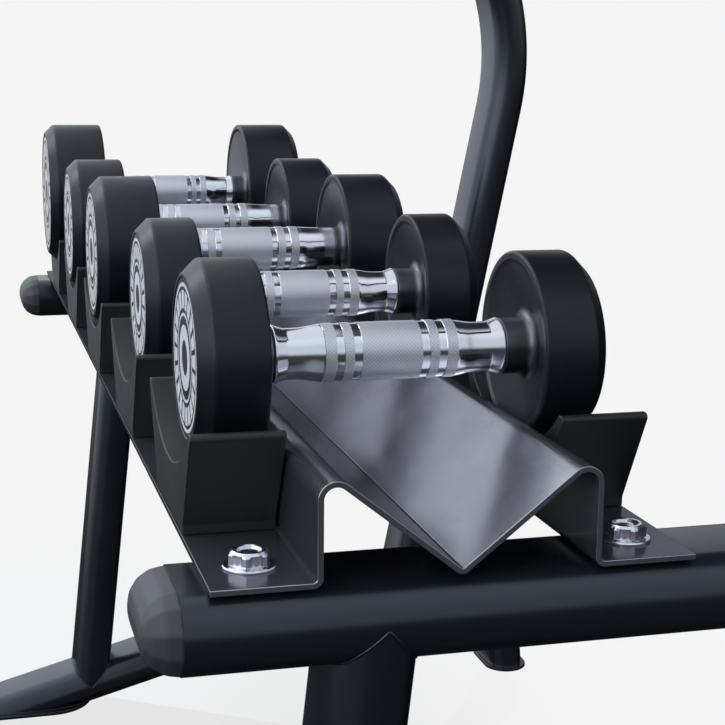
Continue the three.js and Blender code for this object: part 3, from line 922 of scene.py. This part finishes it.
def knurl_bands(mesh, middle, bands):
    """Gives the bands their knurl, and the mesh its map: turns round the handle, metres along it."""
    turns = mesh.uv_layers.new(name="turns")
    for face in mesh.polygons:
        along = abs(face.center.y - middle.y)
        is_side = abs(face.normal.y) < 0.5
        if is_side and any(start - 0.1 * MM < along < end + 0.05 * MM for start, end in bands):
            face.material_index = 1
        points = [mesh.vertices[mesh.loops[index].vertex_index].co for index in face.loop_indices]
        angles = [math.atan2(p.z - middle.z, p.x - middle.x) / FULL_TURN for p in points]
        wraps = max(angles) - min(angles) > 0.5
        for index, angle, point in zip(face.loop_indices, angles, points):
            turns.data[index].uv = (angle + 1 if wraps and angle < 0 else angle, point.y - middle.y)


def build_handle(k):
    node = f"dumbbell_{k}_handle"
    middle = centre(node)
    bell = DUMBBELLS[k - 1]
    half = handle_profile(extent(node).x / 2, bell["hub"], bell["bands"], bell["neck"])
    profile = [(r, -y) for r, y in reversed(half[1:])] + half
    rings = turned(profile, middle, 1)
    handle = make_piece(f"dumbbell_{k}_grip", *loft(rings), [CHROME, KNURL], 30)
    finish_piece(handle, f"dumbbell_{k}", "chrome_handle", node)
    knurl_bands(handle.data, middle, bell["bands"])


HUB = 15.6 * MM
DISH = 9 * MM
DISH_RIM = 6 * MM  # width of the urethane rim round the dish
FACE_RECESS = 0.5 * MM  # how far the outer face lies below its rim
MARK_THICKNESS = 0.3 * MM
MARK_SINK = 0.15 * MM  # how deep the print is set into the face
MARK_GAP = 4.8 * MM  # between the print and the chamfer
MARK_BLOCKS = 20
MARK_FILL = 0.72  # share of the ring that the blocks cover


def head_profile(radius, thickness, hub):
    """(radius, distance outwards from the inner rim) from the hub round the outside to the middle."""
    face = thickness - FACE_RECESS
    shoulder = radius - HEAD_CHAMFER
    return rounded_line([
        (COLLAR - 2.6 * MM, -hub, 0), (HUB, -hub, 0.7 * MM), (HUB, DISH, 5 * MM),
        (radius - 7 * MM, 1.2 * MM, 4 * MM), (radius - 4.4 * MM, 0, 1.2 * MM), (radius, 0, 1.9 * MM),
        (radius, thickness - HEAD_CHAMFER, 3 * MM), (shoulder, thickness, 1.6 * MM),
        (shoulder - 1.6 * MM, thickness, 0.3 * MM), (shoulder - 2.2 * MM, face, 0.3 * MM),
        (0.4 * MM, face, 0)], 8)


def mark_shapes(place, outward_y, radius, face):
    """Plain ring of blocks between two thin rings, printed on a head's outer face.

    The rings' sizes are shares of the print's radius.
    """

    def ring(inner, outer, start=0.0, end=FULL_TURN, steps=96):
        top = face + MARK_THICKNESS
        corners = ((inner, face), (outer, face), (outer, top), (inner, top))
        sections = []
        for i in range(steps + 1):
            angle = start + (end - start) * i / steps
            across_x = radius * math.cos(angle)
            across_z = radius * math.sin(angle)
            sections.append([
                place + Vector((r * across_x, outward_y * y, r * across_z)) for r, y in corners])
        if end - start == FULL_TURN:
            return loft(sections[:-1], closed=True)
        return loft(sections)

    shapes = [ring(0.95, 1.0), ring(0.56, 0.60), ring(0.24, 0.44, steps=72)]
    for i in range(MARK_BLOCKS):
        start = FULL_TURN * i / MARK_BLOCKS
        end = FULL_TURN * (i + MARK_FILL) / MARK_BLOCKS
        shapes.append(ring(0.66, 0.90, start, end, 6))
    return join_shapes(shapes)


def build_head(k, row, sign):
    node = f"dumbbell_{k}_{row}_head"
    axis = centre(f"dumbbell_{k}_handle")
    width = extent(node)
    hub = DUMBBELLS[k - 1]["hub"]
    radius = width.x / 2
    thickness = width.y - hub
    place = axis + Vector((0, sign * HEAD_INNER, 0))
    profile = head_profile(radius, thickness, hub)
    rings = turned(profile, place, sign)
    head = make_piece(f"dumbbell_{k}_{row}_weight", *loft(rings), [URETHANE, DISH_METAL], 30)
    dish_rings = sum(r < radius - DISH_RIM and y < thickness / 2 for r, y in profile)
    for face in head.data.polygons:
        if face.index < dish_rings * len(rings[0]):
            face.material_index = 1
    finish_piece(head, f"dumbbell_{k}", "head_urethane", node)
    mark_radius = radius - HEAD_CHAMFER - MARK_GAP
    shapes = mark_shapes(place, sign, mark_radius, thickness - FACE_RECESS - MARK_SINK)
    mark = make_piece(f"dumbbell_{k}_{row}_ring_print", *shapes, [WHITE_PRINT])
    finish_piece(mark, f"dumbbell_{k}", "head_urethane")


# ---- floor and light ----------------------------------------------------------------------
BACKDROP = (0.913, 0.913, 0.913)
FLOOR_DROP = 0.5 * MM  # keeps the floor clear of the foot plates
FLOOR_HALF = 12.0
MIRROR_SHARE = 0.14  # of the floor's look, close to the left front foot
MIRROR_ROUGHNESS = 0.03
MIRROR_FADE = (0.35, 0.7)  # distances from that foot between which the mirror fades out
SKY_COLOUR = (0.91, 0.965, 1.08)
LAMP_COLOUR = (0.88, 0.95, 1.0)
KEY_OFFSET = Vector((-1.9, -1.95, 1.75))  # from the middle of the rack
KEY_SIZE = (0.7, 0.7)
KEY_POWER = 8
UNDER_OFFSET_Y = -55 * MM  # from the trays' middle line
UNDER_DROP = 0.7 * TUBE_THIN  # below the axis of the upper crossbars
UNDER_WIDTH = 0.25
UNDER_POWER = 0.72


def make_floor():
    """Pale floor that mirrors the rack faintly near it and blends into the backdrop far away."""
    material = bpy.data.materials.new("pale_floor")
    material.use_nodes = True
    nodes = Nodes(material.node_tree)
    nodes.tree.nodes.remove(nodes.tree.nodes["Principled BSDF"])
    plain = nodes.node("ShaderNodeEmission")
    nodes.feed(plain.inputs["Color"], (*BACKDROP, 1))
    mirror = nodes.node("ShaderNodeBsdfGlossy")
    nodes.feed(mirror.inputs["Roughness"], MIRROR_ROUGHNESS)
    place = nodes.node("ShaderNodeTexCoord")
    distance = nodes.node("ShaderNodeVectorMath", operation="DISTANCE")
    nodes.feed(distance.inputs[0], place.outputs["Object"])
    nodes.feed(distance.inputs[1], centre("left_front_foot_plate"))
    share = nodes.ranged(distance.outputs["Value"], *MIRROR_FADE, MIRROR_SHARE, 0.0)
    mix = nodes.node("ShaderNodeMixShader")
    nodes.feed(mix.inputs["Fac"], share)
    nodes.feed(mix.inputs[1], plain.outputs["Emission"])
    nodes.feed(mix.inputs[2], mirror.outputs["BSDF"])
    nodes.feed(nodes.tree.nodes["Material Output"].inputs["Surface"], mix.outputs["Shader"])
    corners = [(x * FLOOR_HALF, y * FLOOR_HALF, 0) for x, y in ((-1, -1), (1, -1), (1, 1), (-1, 1))]
    mesh = bpy.data.meshes.new("floor")
    mesh.from_pydata(corners, [], [(0, 1, 2, 3)])
    mesh.materials.append(material)
    floor = bpy.data.objects.new("floor", mesh)
    floor.location.z = -FLOOR_DROP
    floor.visible_glossy = False
    floor.visible_diffuse = False
    scene.collection.objects.link(floor)


class Sky(Nodes):
    """The world's node tree, with x, y and z of the direction in which it is seen."""

    def __init__(self):
        world = bpy.data.worlds.new("studio")
        world.use_nodes = True
        scene.world = world
        super().__init__(world.node_tree)
        self.tree.nodes.clear()
        place = self.node("ShaderNodeTexCoord")
        parts = self.node("ShaderNodeSeparateXYZ")
        self.feed(parts.inputs["Vector"], place.outputs["Generated"])
        self.x, self.y, self.z = parts.outputs

    def eased(self, value, low, high, to_low, to_high):
        return self.ranged(value, low, high, to_low, to_high, "SMOOTHSTEP")

    def times(self, first, second):
        return self.math("MULTIPLY", first, second)

    def mixed(self, factor, first, second):
        made = self.node("ShaderNodeMix")
        self.feed(made.inputs["Factor"], factor)
        self.feed(made.inputs[2], first)
        self.feed(made.inputs[3], second)
        return made.outputs[0]


def make_world():
    """Plain pale backdrop for the camera, and a soft studio round the object.

    The studio's strength depends on the direction it is seen in: far is its half beyond the rack's
    left end, near its half beyond the right end, and both are dark below the horizon.
    """
    sky = Sky()
    lift = sky.eased(sky.y, -0.5, 0.2, 0.15, -0.10)
    far = sky.eased(sky.math("ADD", sky.z, lift), -0.15, 0.08, 0.02, 0.95)
    low_side = sky.eased(sky.y, 0.14, 0.95, 1.0, 0.04)
    high_side = sky.eased(sky.y, 0.02, 0.26, 1.0, 0.03)
    overhead = sky.eased(sky.z, 0.1, 0.3, 0.0, 1.0)
    front_overhead = sky.eased(sky.y, -0.2, 0.15, 1.35, 1.0)
    far = sky.times(far, sky.mixed(overhead, 1.0, front_overhead))
    far = sky.times(far, sky.mixed(sky.eased(sky.z, 0.28, 0.48, 0.0, 1.0), low_side, high_side))
    near = sky.eased(sky.z, -0.08, 0.2, 0.05, 0.66)
    near = sky.times(near, sky.eased(sky.z, 0.5, 0.9, 1.0, 1.3))
    near = sky.times(near, sky.eased(sky.y, -0.7, -0.4, 3.0, 1.0))
    strength = sky.mixed(sky.eased(sky.x, -0.25, 0.25, 0.0, 1.0), far, near)
    studio = sky.node("ShaderNodeBackground")
    sky.feed(studio.inputs["Color"], (*SKY_COLOUR, 1))
    sky.feed(studio.inputs["Strength"], strength)
    backdrop = sky.node("ShaderNodeBackground")
    sky.feed(backdrop.inputs["Color"], (*BACKDROP, 1))
    path = sky.node("ShaderNodeLightPath")
    mix = sky.node("ShaderNodeMixShader")
    sky.feed(mix.inputs["Fac"], path.outputs["Is Camera Ray"])
    sky.feed(mix.inputs[1], studio.outputs["Background"])
    sky.feed(mix.inputs[2], backdrop.outputs["Background"])
    output = sky.node("ShaderNodeOutputWorld")
    sky.feed(output.inputs["Surface"], mix.outputs["Shader"])


def make_softbox(name, place, aim, size, power):
    """Rectangular area light at a place, turned towards an aim."""
    data = bpy.data.lights.new(name, "AREA")
    data.shape = "RECTANGLE"
    data.size, data.size_y = size
    data.energy = power
    data.color = LAMP_COLOUR
    light = bpy.data.objects.new(name, data)
    light.location = place
    light.rotation_mode = "QUATERNION"
    light.rotation_quaternion = (Vector(place) - Vector(aim)).to_track_quat("Z", "Y")
    scene.collection.objects.link(light)


def make_lights():
    middle = (CAD_LOW + CAD_HIGH) / 2
    make_softbox("key_softbox", middle + KEY_OFFSET, middle, KEY_SIZE, KEY_POWER)
    under = Vector((0, TRAY_Y + UNDER_OFFSET_Y, UPPER_ARM_Z - UNDER_DROP))
    under_size = (extent("upper_tray").x, UNDER_WIDTH)
    make_softbox("softbox_between_tiers", under, under - Vector((0, 0, 1)), under_size, UNDER_POWER)


scene.view_settings.view_transform = "Standard"
make_floor()
make_world()
make_lights()

for side in SIDES:
    build_end_frame(side)
    for tier in TIERS:
        build_end_cap(f"{side}_{tier}_end_cap")
    for row, _ in ROWS:
        build_foot_plate(f"{side}_{row}_foot_plate")
for tier in TIERS:
    build_tray(f"{tier}_tray")
    for row, _ in ROWS:
        for k in range(1, COUNT + 1):
            build_saddle(f"{tier}_{row}_saddle_{k}")
build_bolts()
for k in range(1, COUNT + 1):
    build_handle(k)
    for row, sign in ROWS:
        build_head(k, row, sign)
